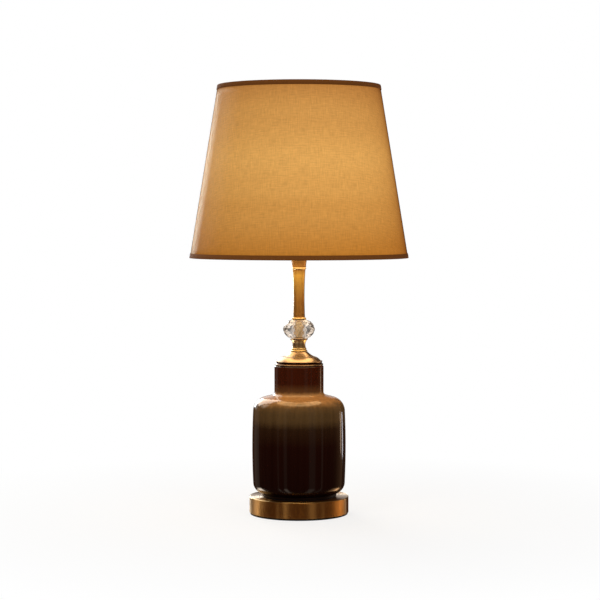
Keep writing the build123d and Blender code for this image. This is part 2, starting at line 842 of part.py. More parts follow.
# Bulb screw cap with rounded ridges
cap_ridges = []
for ridge in range(bulb_cap_turns):
    cap_ridges.append((bulb_cap_radius, bulb_cap_bottom + (ridge + 0.8) * thread_pitch))
with BuildPart() as bulb_cap:
    with BuildSketch(Plane.XY.offset(bulb_cap_bottom)):
        Circle(bulb_cap_radius)
    extrude(amount=bulb_cap_height)
    with BuildSketch(Plane.XZ):
        with Locations(*cap_ridges):
            Circle(thread_round)
    revolve(axis=Axis.Z)
save(bulb_cap.part, "bulb_cap")

# Bulb body: a tapered housing between the cap and the envelope
with BuildPart() as bulb_body:
    with BuildSketch(Plane.XZ):
        with BuildLine():
            Polyline(
                (bulb_body_foot_radius, bulb_body_bottom),
                (0, bulb_body_bottom),
                (0, bulb_envelope_bottom),
                (bulb_body_head_radius, bulb_envelope_bottom),
            )
            ThreePointArc(
                (bulb_body_head_radius, bulb_envelope_bottom),
                (bulb_body_foot_radius + 2.4, bulb_body_bottom + bulb_body_height * 0.5),
                (bulb_body_foot_radius, bulb_body_bottom),
            )
        make_face()
    revolve(axis=Axis.Z)
save(bulb_body.part, "bulb_body")

# Bulb envelope: a hollow candle shape with a rounded nose
bulb_wide_z = bulb_envelope_bottom + bulb_envelope_height * 0.22
bulb_nose_z = bulb_top - bulb_nose_radius
with BuildPart() as bulb_envelope:
    for inset, mode in ((0, Mode.ADD), (bulb_envelope_wall, Mode.SUBTRACT)):
        with BuildSketch(Plane.XZ):
            with BuildLine():
                Spline(
                    (bulb_body_head_radius - inset, bulb_envelope_bottom),
                    (bulb_envelope_radius - inset, bulb_wide_z),
                    (bulb_nose_radius * 0.9 - inset, bulb_nose_z),
                    (0, bulb_top - inset),
                    tangents=((0.2, 1), (-1, 0)),
                )
                Polyline(
                    (0, bulb_top - inset),
                    (0, bulb_envelope_bottom),
                    (bulb_body_head_radius - inset, bulb_envelope_bottom),
                )
            make_face()
        revolve(axis=Axis.Z, mode=mode)
save(bulb_envelope.part, "bulb_envelope")
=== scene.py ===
import math

import bmesh
import bpy
from bpy.props import FloatProperty, FloatVectorProperty, PointerProperty
from mathutils import Matrix, Vector


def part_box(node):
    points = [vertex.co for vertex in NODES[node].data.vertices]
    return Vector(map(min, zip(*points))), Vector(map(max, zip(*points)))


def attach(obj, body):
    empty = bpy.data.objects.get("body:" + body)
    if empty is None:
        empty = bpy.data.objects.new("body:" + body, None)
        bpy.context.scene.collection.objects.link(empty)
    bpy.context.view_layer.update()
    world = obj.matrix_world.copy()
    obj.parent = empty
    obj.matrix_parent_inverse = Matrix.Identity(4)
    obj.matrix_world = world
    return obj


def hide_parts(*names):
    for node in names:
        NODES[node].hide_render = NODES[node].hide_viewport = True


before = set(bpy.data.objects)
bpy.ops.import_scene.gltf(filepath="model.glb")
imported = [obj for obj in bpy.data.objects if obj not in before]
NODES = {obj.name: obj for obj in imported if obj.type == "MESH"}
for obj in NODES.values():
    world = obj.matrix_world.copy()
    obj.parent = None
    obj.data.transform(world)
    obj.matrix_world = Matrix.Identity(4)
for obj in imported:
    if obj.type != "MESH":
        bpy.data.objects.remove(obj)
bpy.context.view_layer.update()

bl_info = {
    "name": "Ceramic table lamp",
    "version": (1, 0, 0),
    "blender": (4, 5, 0),
    "location": "View3D > Sidebar > Lamp",
    "description": "Dresses a lit table lamp: linen shade, glazed jar, brass and cut crystal",
    "category": "Object",
}

WHITE = (1.0, 1.0, 1.0)
BLACK = (0.0, 0.0, 0.0)

# The shade's mesh: steps round it and along its lap, cuts up the linen, the rounding of the ribbon's fold in
# metres, and how much of the linen's rise the ribbon's lap has
TURN_STEPS = 240
LAP_STEPS = 3
CLOTH_CUTS = 15
FOLD_RADIUS = 0.0009
FOLD_STEPS = 4
RIBBON_RISE_SHARE = 0.6

# Turned brass: rings to the metre, and the shares of a height in metres at which it has each of its tints.
# On the stem these tints are painted light and shade: brighter towards the top under the shade's glow,
# darker at the foot and in the cup inside the shade's mouth.
RINGS_PER_METRE = 5200.0
TINT_HEIGHT = 0.3
TINT_PLACES = (0.0, 0.84, 0.945, 0.968)

# Upright panels of light in reflections: the middle and half the width in degrees round the lamp, counted
# from the front to the right, the brightness, and the brightness added low down. Their soft edges are as
# wide as the blur, in degrees.
PANELS = (
    (-131.0, 14.0, 0.11, 5.6),
    (-53.0, 2.0, 0.12, 1.0),
    (-34.0, 5.0, 0.08, 0.9),
    (33.0, 9.0, 0.08, 0.28),
    (59.0, 2.0, 0.2, 0.3),
)
WARM_PANEL = (114.0, 22.0, 0.2, 4.2)
WARM_CORE = (126.0, 5.0, 0.0, 4.0)
PANEL_BLUR = 1.5

# Sockets of a Mix node that mixes colours
MIX_SHARE = 0
MIX_FIRST = 6
MIX_SECOND = 7
MIX_RESULT = 2


# Sizes and colours a user would change

def colour(name, description, default):
    """A colour property in linear light."""
    return FloatVectorProperty(
        name=name, description=description, default=default, size=3, min=0.0, max=1.0, subtype="COLOR",
    )


def length(name, description, default):
    """A length property in metres."""
    return FloatProperty(
        name=name, description=description, default=default, min=0.0, unit="LENGTH", precision=5,
    )


def amount(name, description, default):
    """A plain number property."""
    return FloatProperty(name=name, description=description, default=default, min=0.0)


class LampShadeSettings(bpy.types.PropertyGroup):
    linen: colour("Linen", "Colour of the linen by daylight", (0.22, 0.115, 0.028))
    glow: colour("Glow", "Light that comes through the linen beside the bulb", (0.705, 0.373, 0.101))
    glow_below: colour("Glow below", "Light that comes through near the lower edge", (0.43, 0.156, 0.016))
    glow_above: colour("Glow above", "Light that comes through near the upper edge", (0.44, 0.185, 0.043))
    # Partly painted shade: the edging is made dark brown, as little light comes through it
    ribbon: colour("Ribbon", "Colour of the edging ribbon", (0.135, 0.043, 0.007))
    wire: colour("Wire", "Paint on the shade's wires and arms", (0.80, 0.78, 0.72))
    liner: colour("Liner", "Film behind the linen", (0.85, 0.78, 0.64))
    thread_pitch: length("Thread pitch", "Distance from one linen thread to the next", 0.0008)
    rib_pitch: length("Rib pitch", "Distance from one rib of the ribbon to the next", 0.0011)
    cloth_thickness: length("Cloth thickness", "Thickness of the linen", 0.0006)
    lap: length("Seam lap", "How far the linen's end lies over its start at the back", 0.012)
    lap_rise: length("Seam rise", "How far the lap stands proud of the linen", 0.0005)
    ribbon_thickness: length("Ribbon thickness", "Thickness of the edging ribbon", 0.0006)


class LampBodySettings(bpy.types.PropertyGroup):
    glaze: colour("Glaze", "Deep maroon-brown of the jar's side", (0.0125, 0.0013, 0.0004))
    glaze_neck: colour("Neck glaze", "Maroon of the jar's neck", (0.046, 0.0070, 0.0014))
    # Partly painted light: this amber also stands in for the shade's glow falling on the shoulder
    shoulder_amber_and_glow: colour("Shoulder glaze", "Amber where the glaze thins", (0.36, 0.175, 0.055))
    glaze_band: colour("Band glaze", "Olive brown below the shoulder", (0.118, 0.062, 0.020))
    # One brass in two copies: the bright copy is painted light, lighter so that the waist and rings read as
    # lit; the polished copy is darker, painted shade that tones down the cap's reflections
    polished: colour("Polished brass", "Colour of the cap and the crystal's cup", (0.48, 0.37, 0.26))
    bright: colour("Bright brass", "Colour of the waist and the small rings", (0.92, 0.76, 0.41))
    # A dark colour painted in the cove above the cap's rim; the darker brass tints are mixed from it too
    groove: colour("Groove", "Dark lacquer in the groove above the cap's rim", (0.05, 0.018, 0.008))
    # Painted light: this brighter tint makes the stem's top read as lit by the shade's glow
    brushed: colour("Brushed brass", "Colour of the brass near the top of the stem", (0.82, 0.57, 0.15))
    aged: colour("Aged brass", "Colour of the brushed brass of the base", (0.72, 0.41, 0.13))
    plain: colour("Stamped brass", "Colour of the rod, shell and contacts", (0.78, 0.58, 0.30))
    phenolic: colour("Phenolic", "Colour of the moulded lampholder", (0.025, 0.023, 0.022))
    ivory: colour("Push bar", "Colour of the switch's push bar", (0.78, 0.70, 0.54))
    light: colour("Lamplight", "Colour of the bulb's light", (1.0, 0.70, 0.38))
    light_level: amount("Lamplight level", "Brightness of the bulb's envelope", 1.15)
    # Strength of the liner's painted glow
    inside_level: amount("Inside level", "Brightness of the lit liner", 0.62)


class LampStageSettings(bpy.types.PropertyGroup):
    camera_distance: length("Camera distance", "From the lamp's axis to the camera", 2.20)
    camera_height: length("Camera height", "Height of the camera above the floor", 0.354)
    camera_side: length("Camera side", "How far the camera stands to the right of the axis", 0.0012)
    lens: amount("Lens", "Focal length in millimetres on a 36 mm sensor", 111.37)
    tilt: FloatProperty(
        name="Tilt", description="How far the camera looks down", default=math.radians(2.596),
        subtype="ANGLE",
    )
    key_power: amount("Key power", "Watts of the soft light at the front left", 11.0)
    fill_power: amount("Fill power", "Watts of the soft light at the front right", 9.0)
    back_power: amount("Back power", "Watts of the soft light behind the lamp on the left", 20.0)
    rim_power: amount("Rim power", "Watts of the small light behind the shade on the left", 11.0)
    glow_power: amount("Glow power", "Watts of the warm light in the shade's mouth", 0.37)
    glow: colour("Glow", "Colour of the warm light in the shade's mouth", (1.0, 0.62, 0.27))
    strip_power: amount("Strip power", "Watts of the slim low light on the right", 0.04)
    side_power: amount("Side power", "Watts of the slim low light behind the lamp on the right", 0.045)
    sky: amount("Sky", "Even light from all sides", 0.36)
    dim_above: colour("Dim above", "Colour of reflections from overhead", (0.102, 0.054, 0.029))
    dim_below: colour("Dim below", "Colour of reflections from near the floor", (0.060, 0.027, 0.015))
    panel: colour("Panels", "Colour of the upright panels of light in reflections", (1.0, 0.84, 0.68))
    warm_panel: colour("Warm panel", "Colour of the panel of light at the back right", (1.0, 0.55, 0.25))
    floor: colour("Floor", "Colour of the floor", (0.80, 0.80, 0.79))
    floor_radius: length("Floor radius", "Radius of the round floor", 0.58)


# Shader nodes

class Value:
    """A socket of a node, so that shader maths reads as plain expressions."""

    def __init__(self, finish, socket):
        self.finish = finish
        self.socket = socket

    def math(self, operation, first, second=0.0, clamp=False):
        settings = {"operation": operation, "use_clamp": clamp}
        return self.finish.node("ShaderNodeMath", settings, {0: first, 1: second})

    def __add__(self, other):
        return self.math("ADD", self, other)

    def __radd__(self, other):
        return self.math("ADD", other, self)

    def __sub__(self, other):
        return self.math("SUBTRACT", self, other)

    def __rsub__(self, other):
        return self.math("SUBTRACT", other, self)

    def __mul__(self, other):
        return self.math("MULTIPLY", self, other)

    def __rmul__(self, other):
        return self.math("MULTIPLY", other, self)

    def __truediv__(self, other):
        return self.math("DIVIDE", self, other)

    def __rtruediv__(self, other):
        return self.math("DIVIDE", other, self)

    def __pow__(self, other):
        return self.math("POWER", self, other)

    def __abs__(self):
        return self.math("ABSOLUTE", self)

    def sine(self):
        return self.math("SINE", self)

    def held(self):
        """The value kept between 0 and 1."""
        return self.math("ADD", self, 0.0, clamp=True)

    def rise(self, start, width):
        """0 up to a start, then rising to 1 over a width."""
        return ((self - start) / width).held()

    def fall(self, end, width):
        """1 at first, falling to 0 over the width before an end."""
        return ((end - self) / width).held()

    def output(self, name):
        """Another output of the same node."""
        return Value(self.finish, self.socket.node.outputs[name])


class Finish:
    """A material or world being made. Every node comes from its node method."""

    def __init__(self, owner):
        owner.use_nodes = True
        self.owner = owner
        self.tree = owner.node_tree
        self.tree.nodes.clear()

    def node(self, kind, settings=None, sockets=None, output=0):
        """Adds a node, makes its settings, then fills or links its sockets."""
        made = self.tree.nodes.new(kind)
        for name, setting in (settings or {}).items():
            if name == "stops":
                fill_ramp(made.color_ramp, setting)
            else:
                setattr(made, name, setting)
        for name, given in (sockets or {}).items():
            if isinstance(given, Value):
                self.tree.links.new(given.socket, made.inputs[name])
            else:
                made.inputs[name].default_value = given
        return Value(self, made.outputs[output]) if len(made.outputs) else None

    def place(self):
        """Where a point lies on the lamp, in metres."""
        return self.node("ShaderNodeTexCoord", output="Object")

    def split(self, vector):
        """The X, Y and Z values of a vector."""
        first = self.node("ShaderNodeSeparateXYZ", None, {0: vector})
        return first, first.output("Y"), first.output("Z")

    def join(self, x, y):
        """A flat vector made of two values."""
        return self.node("ShaderNodeCombineXYZ", None, {0: x, 1: y})

    def stretch(self, vector, scale):
        """A vector scaled differently along each axis."""
        return self.node("ShaderNodeMapping", {"vector_type": "POINT"}, {"Vector": vector, "Scale": scale})

    def noise(self, vector, scale=1.0, detail=2.0, roughness=0.5):
        sockets = {"Vector": vector, "Scale": scale, "Detail": detail, "Roughness": roughness}
        return self.node("ShaderNodeTexNoise", {"noise_dimensions": "3D"}, sockets)

    def lines(self, value, scale, detail):
        """Noise along one value, for lines and rings."""
        sockets = {"W": value, "Scale": scale, "Detail": detail}
        return self.node("ShaderNodeTexNoise", {"noise_dimensions": "1D"}, sockets)

    def ramp(self, value, stops, interpolation="LINEAR"):
        made = self.node("ShaderNodeValToRGB", {"stops": stops}, {0: value})
        made.socket.node.color_ramp.interpolation = interpolation
        return made

    def mix(self, share, first, second, blend="MIX"):
        """Two colours mixed by a share."""
        settings = {"data_type": "RGBA", "blend_type": blend, "clamp_factor": True}
        sockets = {MIX_SHARE: share, MIX_FIRST: solid(first), MIX_SECOND: solid(second)}
        return self.node("ShaderNodeMix", settings, sockets, output=MIX_RESULT)

    def shaded(self, first, value):
        """A colour made lighter or darker by a value."""
        return self.mix(1.0, first, value, "MULTIPLY")

    def bump(self, height, strength, distance):
        sockets = {"Strength": strength, "Distance": distance, "Height": height}
        return self.node("ShaderNodeBump", None, sockets)

    def principled(self, **sockets):
        """The Principled shader, with its sockets named in words joined by underscores."""
        named = {name.replace("_", " "): solid(given) for name, given in sockets.items()}
        return self.node("ShaderNodeBsdfPrincipled", None, named)

    def blended(self, share, first, second):
        """Two shaders mixed by a share."""
        return self.node("ShaderNodeMixShader", None, {0: share, 1: first, 2: second})

    def done(self, shader):
        """Sends a shader to the output and returns the finished material or world."""
        of_world = isinstance(self.owner, bpy.types.World)
        kind = "ShaderNodeOutputWorld" if of_world else "ShaderNodeOutputMaterial"
        self.node(kind, None, {"Surface": shader})
        return self.owner


def solid(given):
    """A colour of three numbers as the four that a socket takes."""
    if isinstance(given, (Value, int, float)):
        return given
    return (*given, 1.0) if len(given) == 3 else tuple(given)


def fill_ramp(ramp, stops):
    """Gives a colour ramp its stops, as pairs of place and colour."""
    while len(ramp.elements) < len(stops):
        ramp.elements.new(1.0)
    while len(ramp.elements) > len(stops):
        ramp.elements.remove(ramp.elements[-1])
    for element, (place, shade) in zip(ramp.elements, stops):
        element.position = place
        element.color = solid(shade)


def material(name):
    return Finish(bpy.data.materials.new(name))


def mixed(first, second, share):
    """Two fixed colours mixed in plain numbers."""
    return tuple(a + (b - a) * share for a, b in zip(first, second))


# Finishes of the shade

def linen(shade, bottom, top):
    """Slubbed plain-weave linen. The bulb's light coming through it is painted into its emission by height,
    and painted a little stronger on the right.
    """
    finish = material("linen")
    cut = finish.node("ShaderNodeUVMap", {"uv_map": "flat_cut"})
    across, along, _ = finish.split(cut)
    x, _, z = finish.split(finish.place())
    warp = (across * (math.pi / shade.thread_pitch)).sine()
    weft = (along * (math.pi / shade.thread_pitch)).sine()
    weave = abs(warp * weft)
    narrow = 800.0
    long = 85.0
    broad = 9.0
    standing = finish.noise(finish.join(across * narrow, along * long), detail=3.0, roughness=0.6)
    lying = finish.noise(finish.join(across * long, along * narrow), detail=3.0, roughness=0.6)
    cloud = finish.noise(finish.join(across * broad, along * broad))
    slub = standing + lying - 1.0
    thread = 1.0 + slub * 0.55 + (weave - 0.4) * 0.12
    # Painted glow: the bulb's light through the linen, set by height
    share = (z - bottom) / (top - bottom) + (cloud - 0.5) * 0.06
    stops = [
        (0.0, shade.glow_below),
        (0.28, mixed(shade.glow_below, shade.glow, 0.52)),
        (0.40, mixed(shade.glow_below, shade.glow, 0.80)),
        (0.56, shade.glow),
        (0.80, mixed(shade.glow_above, shade.glow, 0.55)),
        (1.0, shade.glow_above),
    ]
    glow = finish.ramp(share, stops, "EASE")
    # Painted light: the glow is made stronger towards the right, though the bulb stands on the axis
    painted_right_glow = 1.0 + x * 1.15
    shader = finish.principled(
        Base_Color=finish.shaded(shade.linen, thread),
        Roughness=0.30,
        Specular_IOR_Level=0.2,
        Emission_Color=finish.shaded(glow, thread * painted_right_glow),
        Emission_Strength=1.0,
        Coat_Weight=1.0,
        Coat_Roughness=1.0,
        Coat_IOR=1.0,
        Coat_Tint=(0.87, 0.84, 0.80),
        Sheen_Weight=0.05,
        Sheen_Roughness=0.3,
        Sheen_Tint=(1.0, 0.95, 0.88),
        Normal=finish.bump(weave + slub * 0.8, strength=0.5, distance=0.0004),
    )
    return finish.done(shader)


def ribbon(shade):
    """Ribbon with fine cross ribs and a little light coming through. Its dark brown is partly the ribbon's
    own colour and partly painted shade, as the edging gets little of the light that comes through the linen.
    """
    finish = material("brown_ribbon")
    strip = finish.node("ShaderNodeUVMap", {"uv_map": "strip"})
    along, across, _ = finish.split(strip)
    rib = (along * (math.tau / shade.rib_pitch)).sine()
    fray = finish.noise(finish.join(along * 300, across * 2400), detail=3.0)
    thread = 1.0 + rib * 0.18 + (fray - 0.5) * 0.8
    shader = finish.principled(
        Base_Color=finish.shaded(shade.ribbon, thread),
        Roughness=0.8,
        Specular_IOR_Level=0.2,
        Emission_Color=finish.shaded(mixed(shade.ribbon, BLACK, 0.7), thread),
        Emission_Strength=1.0,
        Normal=finish.bump(rib * 0.5 + fray, strength=0.4, distance=0.0003),
    )
    return finish.done(shader)


def painted_glow_liner(shade, body, bottom, top):
    """White film with the bulb's light on it painted into its emission, brightest beside the bulb."""
    finish = material("white_liner")
    place = finish.place()
    _, _, z = finish.split(place)
    grain = finish.noise(place, scale=240.0, detail=3.0)
    share = (z - bottom) / (top - bottom)
    dim = mixed(body.light, BLACK, 0.55)
    # Painted glow: the bulb's light on the liner, brightest a little above mid-height
    glow = finish.ramp(share, [(0.0, dim), (0.55, body.light), (1.0, dim)], "EASE")
    shader = finish.principled(
        Base_Color=finish.shaded(shade.liner, 0.92 + grain * 0.16),
        Roughness=0.55 + grain * 0.2,
        Emission_Color=finish.shaded(glow, 0.9 + grain * 0.2),
        Emission_Strength=body.inside_level,
    )
    return finish.done(shader)


# Finishes of the body

def glaze(body, bottom, top):
    """Glossy glaze that runs down the jar: maroon neck, amber shoulder, olive band and a near-black maroon
    side, duller at the foot. The shoulder's amber is partly the glaze's own colour and partly painted light,
    the shade's glow falling on it and mirrored in it."""
    finish = material("glaze")
    place = finish.place()
    _, _, z = finish.split(place)
    runs_to_the_metre = (170.0, 170.0, 7.0)
    runs = finish.noise(finish.stretch(place, runs_to_the_metre), detail=4.0, roughness=0.6)
    drift = finish.noise(place, scale=16.0)
    fleck = finish.noise(place, scale=420.0)
    foot_height = 0.014
    foot = z.fall(bottom + foot_height, foot_height)
    share = (z - bottom) / (top - bottom) + (runs - 0.5) * 0.04 + (drift - 0.5) * 0.015
    stops = [
        (0.00, mixed(body.glaze, BLACK, 0.4)),
        (0.40, body.glaze),
        (0.54, mixed(body.glaze, body.glaze_band, 0.15)),
        (0.60, mixed(body.glaze, body.glaze_band, 0.8)),
        (0.70, body.glaze_band),
        # Partly painted light: the amber shoulder also stands in for the shade's glow falling on it
        (0.757, body.shoulder_amber_and_glow),
        (0.79, body.shoulder_amber_and_glow),
        (0.81, mixed(body.shoulder_amber_and_glow, body.glaze_neck, 0.75)),
        (0.87, body.glaze_neck),
        (1.00, body.glaze_neck),
    ]
    tint = finish.shaded(finish.ramp(share, stops), 0.6 + runs * 0.8)
    shader = finish.principled(
        Base_Color=finish.shaded(tint, 0.9 + fleck * 0.2),
        Roughness=0.03 + runs * 0.14 + foot * 0.35,
        IOR=1.55,
        Normal=finish.bump(drift + runs * 0.1, strength=0.03, distance=0.002),
    )
    return finish.done(shader)


def turned_brass(name, tints, roughness, ring_depth, spread, rim=None, groove=None):
    """Brass with a slight tarnish and the fine rings that turning leaves, which spread its shine along the
    axis. Its tint goes from the first to the last of the tints with height. The rim is a bright upper edge,
    partly rubbed by hands and partly a painted highlight: its radius, its height, its tint and the
    darker tint of the flat top inside it. The groove is darkened: its height, half its width and its tint."""
    finish = material(name)
    place = finish.place()
    x, y, z = finish.split(place)
    radius = (x * x + y * y) ** 0.5
    ring = finish.lines(radius + z * 0.73, scale=RINGS_PER_METRE, detail=3.0)
    tarnish = finish.noise(place, scale=38.0, detail=4.0, roughness=0.62)
    # With several tints, as on the stem, this ramp paints light and shade by height
    tint = finish.ramp(z / TINT_HEIGHT, list(zip(TINT_PLACES, tints)))
    if rim:
        reach, height, rubbed_edge_highlight, darker_top = rim
        top_depth = 0.0009
        edge_width = 0.0012
        edge_blur = 0.0005
        top = abs(z - height).fall(top_depth, top_depth)
        edge = radius.rise(reach - edge_width, edge_blur)
        # Painted highlight: a bright line along the rim's edge, partly rubbed brass; the flat top inside it
        # is darker
        tint = finish.mix(top * (1.0 - edge), tint, darker_top)
        tint = finish.mix(top * edge, tint, rubbed_edge_highlight)
    if groove:
        height, half, dark = groove
        groove_blur = 0.0004
        tint = finish.mix(abs(z - height).fall(half, groove_blur), tint, dark)
    shader = finish.principled(
        Base_Color=finish.shaded(tint, 0.80 + tarnish * 0.28 + ring * 0.10),
        Metallic=1.0,
        Roughness=roughness + (tarnish - 0.5) * 0.12 + (ring - 0.5) * 0.10,
        Anisotropic=spread,
        Anisotropic_Rotation=0.25,
        Normal=finish.bump(ring, strength=ring_depth, distance=0.0002),
    )
    return finish.done(shader)


def crystal():
    """Clear cut glass, faintly warm, with the faintest veil on its facets."""
    finish = material("crystal")
    veil = finish.noise(finish.place(), scale=90.0, detail=3.0)
    shader = finish.principled(
        Base_Color=(0.96, 0.89, 0.83),
        Roughness=0.005 + veil * 0.02,
        IOR=1.62,
        Transmission_Weight=1.0,
    )
    return finish.done(shader)


def speckled(name, tint, roughness, grain, contrast, depth, metallic=0.0):
    """A plain finish with grains and broader patches in its colour, gloss and surface."""
    finish = material(name)
    place = finish.place()
    grains_to_a_patch = 18.0
    speck = finish.noise(place, scale=grain, detail=3.0)
    patch = finish.noise(place, scale=grain / grains_to_a_patch, detail=3.0)
    shade = 1.0 + (speck - 0.5) * contrast + (patch - 0.5) * contrast
    shader = finish.principled(
        Base_Color=finish.shaded(tint, shade),
        Metallic=metallic,
        Roughness=(roughness + (patch - 0.5) * 0.2).held(),
        Normal=finish.bump(speck, strength=depth, distance=0.0003),
    )
    return finish.done(shader)


def lit_envelope(body):
    """Lit bulb with a fine frost."""
    finish = material("lit_envelope")
    frost = finish.noise(finish.place(), scale=1500.0)
    shader = finish.principled(
        Base_Color=finish.shaded((0.9, 0.84, 0.72), 0.95 + frost * 0.1),
        Roughness=0.5,
        Emission_Color=finish.shaded(body.light, 0.94 + frost * 0.12),
        Emission_Strength=body.light_level,
    )
    return finish.done(shader)


# Shapes of the shade

def cone():
    """The shade's outer cone: the lower edge's radius and height, and how the radius falls with height."""
    low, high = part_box("shade_bottom_edging")
    top_low, top_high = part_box("shade_top_edging")
    fall = (high.x - top_high.x) / (top_low.z - low.z)
    return high.x, low.z, fall


def shade_radius(height):
    """Radius of the outside of the shade's edging at a height."""
    foot, bottom, fall = cone()
    return foot - (height - bottom) * fall


def inner_radius(node):
    """Smallest radius of a CAD node round the lamp's axis."""
    return min(math.hypot(vert.co.x, vert.co.y) for vert in NODES[node].data.vertices)


def new_piece(name, mesh, body, nodes):
    """Makes a bmesh into a piece that rides on a body and stands for CAD nodes."""
    for face in mesh.faces:
        face.smooth = True
    data = bpy.data.meshes.new(name)
    mesh.to_mesh(data)
    mesh.free()
    piece = bpy.data.objects.new(name, data)
    bpy.context.scene.collection.objects.link(piece)
    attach(piece, body)
    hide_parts(*nodes)
    return piece


def paint(finish, *names):
    """Gives CAD nodes or pieces one finish."""
    for name in names:
        data = bpy.data.objects[name].data
        data.materials.clear()
        data.materials.append(finish)


def thicken(piece, thickness):
    """A wall inside the modelled surface."""
    wall = piece.modifiers.new("wall", "SOLIDIFY")
    wall.thickness = thickness
    wall.offset = -1.0


def wrap(mesh, profile, lap, rise):
    """Turns an open profile once round the axis from the back, then on by a lap that lies over its start.
    Returns the faces of the lap."""
    bmesh.ops.rotate(mesh, verts=mesh.verts[:], cent=(0, 0, 0), matrix=quarter_turn())
    turn = bmesh.ops.spin(
        mesh, geom=profile, cent=(0, 0, 0), axis=(0, 0, 1), angle=math.tau, steps=TURN_STEPS,
        use_merge=False,
    )
    body = set(mesh.faces)
    bmesh.ops.spin(
        mesh, geom=turn["geom_last"], cent=(0, 0, 0), axis=(0, 0, 1), angle=lap, steps=LAP_STEPS,
        use_merge=False,
    )
    start = set(item for item in turn["geom_last"] if isinstance(item, bmesh.types.BMVert))
    lap_faces = [face for face in mesh.faces if face not in body]
    lap_verts = set(vert for face in lap_faces for vert in face.verts) - start
    bmesh.ops.translate(mesh, verts=list(lap_verts), vec=(0, rise, 0))
    return lap_faces


def quarter_turn():
    """Turns the +X side, where profiles are drawn, to the back."""
    return Matrix.Rotation(math.pi / 2, 3, "Z")


def turn_outwards(mesh):
    """Makes the faces of a folded ribbon point away from the shade's inside."""
    bmesh.ops.recalc_face_normals(mesh, faces=mesh.faces[:])
    side = max(mesh.faces, key=lambda face: abs(face.normal.x * face.calc_center_median().x))
    if side.normal.x * side.calc_center_median().x < 0:
        bmesh.ops.reverse_faces(mesh, faces=mesh.faces[:])


def angle_from_back(point):
    """Angle round the axis from the back, from 0 to a full turn."""
    return (math.atan2(point.y, point.x) - math.pi / 2) % math.tau


def turned_angle(point, face_angle):
    """A corner's angle, on the same turn as its face."""
    angle = angle_from_back(point)
    return angle + math.tau * round((face_angle - angle) / math.tau)


class LAMP_OT_linen(bpy.types.Operator):
    """Wrap the shade in linen cut from a flat sector, lapped at the back"""
    bl_idname = "lamp.linen"
    bl_label = "Linen"

    def execute(self, context):
        shade = context.scene.lamp_shade
        low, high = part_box("shade_linen")
        foot = high.x
        _, _, fall = cone()
        head = foot - (high.z - low.z) * fall
        mesh = bmesh.new()
        ends = (mesh.verts.new((foot, 0, low.z)), mesh.verts.new((head, 0, high.z)))
        line = mesh.edges.new(ends)
        bmesh.ops.subdivide_edges(mesh, edges=[line], cuts=CLOTH_CUTS)
        profile = mesh.verts[:] + mesh.edges[:]
        lap_faces = set(wrap(mesh, profile, shade.lap / foot, shade.lap_rise))
        bmesh.ops.recalc_face_normals(mesh, faces=mesh.faces[:])
        slope = math.sin(math.atan(fall))
        layer = mesh.loops.layers.uv.new("flat_cut")
        for face in mesh.faces:
            middle = angle_from_back(face.calc_center_median())
            extra = math.tau if face in lap_faces else 0.0
            for corner in face.loops:
                point = corner.vert.co
                round_axis = turned_angle(point, middle) + extra
                reach = math.hypot(point.x, point.y) / slope
                swing = (round_axis - math.pi) * slope
                corner[layer].uv = (reach * math.sin(swing), reach * math.cos(swing))
        cloth = new_piece("shade_cloth", mesh, "shade", ["shade_linen"])
        thicken(cloth, shade.cloth_thickness)
        paint(linen(shade, low.z, high.z), cloth.name)
        far = foot / slope
        near = head / slope
        half = math.pi * slope
        far - near * math.cos(half)
        half * (far ** 2 - near ** 2)
        return {"FINISHED"}


class LAMP_OT_ribbons(bpy.types.Operator):
    """Fold a brown ribbon over the shade's upper and lower edge"""
    bl_idname = "lamp.ribbons"
    bl_label = "Edging ribbons"

    def execute(self, context):
        shade = context.scene.lamp_shade
        finish = ribbon(shade)
        for edge in ("bottom", "top"):
            node = f"shade_{edge}_edging"
            low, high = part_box(node)
            fold, hem = (low.z, high.z) if edge == "bottom" else (high.z, low.z)
            hem_radius = shade_radius(hem)
            fold_radius = shade_radius(fold)
            inside = inner_radius(node)
            mesh = bmesh.new()
            points = [(hem_radius, 0, hem), (fold_radius, 0, fold), (inside, 0, fold)]
            verts = [mesh.verts.new(point) for point in points]
            for first, second in zip(verts, verts[1:]):
                mesh.edges.new((first, second))
            bmesh.ops.bevel(
                mesh, geom=[verts[1]], offset=FOLD_RADIUS, segments=FOLD_STEPS, profile=0.5, material=-1,
                affect="VERTICES",
            )
            profile = mesh.verts[:] + mesh.edges[:]
            wrap(mesh, profile, shade.lap / hem_radius, shade.lap_rise * RIBBON_RISE_SHARE)
            turn_outwards(mesh)
            layer = mesh.loops.layers.uv.new("strip")
            for face in mesh.faces:
                middle = angle_from_back(face.calc_center_median())
                for corner in face.loops:
                    point = corner.vert.co
                    radius = math.hypot(point.x, point.y)
                    along = turned_angle(point, middle) * fold_radius
                    corner[layer].uv = (along, abs(point.z - fold) + abs(fold_radius - radius))
            strip = new_piece(f"shade_{edge}_ribbon", mesh, "shade", [node])
            thicken(strip, shade.ribbon_thickness)
            paint(finish, strip.name)
            width = abs(hem - fold) + fold_radius - inside
            math.tau * fold_radius + shade.lap
        return {"FINISHED"}


class LAMP_OT_shade_frame(bpy.types.Operator):
    """Finish the shade's wires, arms, fitter and liner"""
    bl_idname = "lamp.shade_frame"
    bl_label = "Shade frame"

    def execute(self, context):
        shade = context.scene.lamp_shade
        low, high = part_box("shade_liner")
        paint(painted_glow_liner(shade, context.scene.lamp_body, low.z, high.z), "shade_liner")
        white = speckled("white_wire", shade.wire, roughness=0.35, grain=700.0, contrast=0.10, depth=0.12)
        paint(white, "fitter_ring", "shade_arms", "shade_bottom_wire", "shade_top_wire")
        return {"FINISHED"}


class LAMP_OT_jar(bpy.types.Operator):
    """Glaze the jar"""
    bl_idname = "lamp.jar"
    bl_label = "Jar"

    def execute(self, context):
        low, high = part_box("ceramic_jar")
        paint(glaze(context.scene.lamp_body, low.z, high.z), "ceramic_jar")
        return {"FINISHED"}


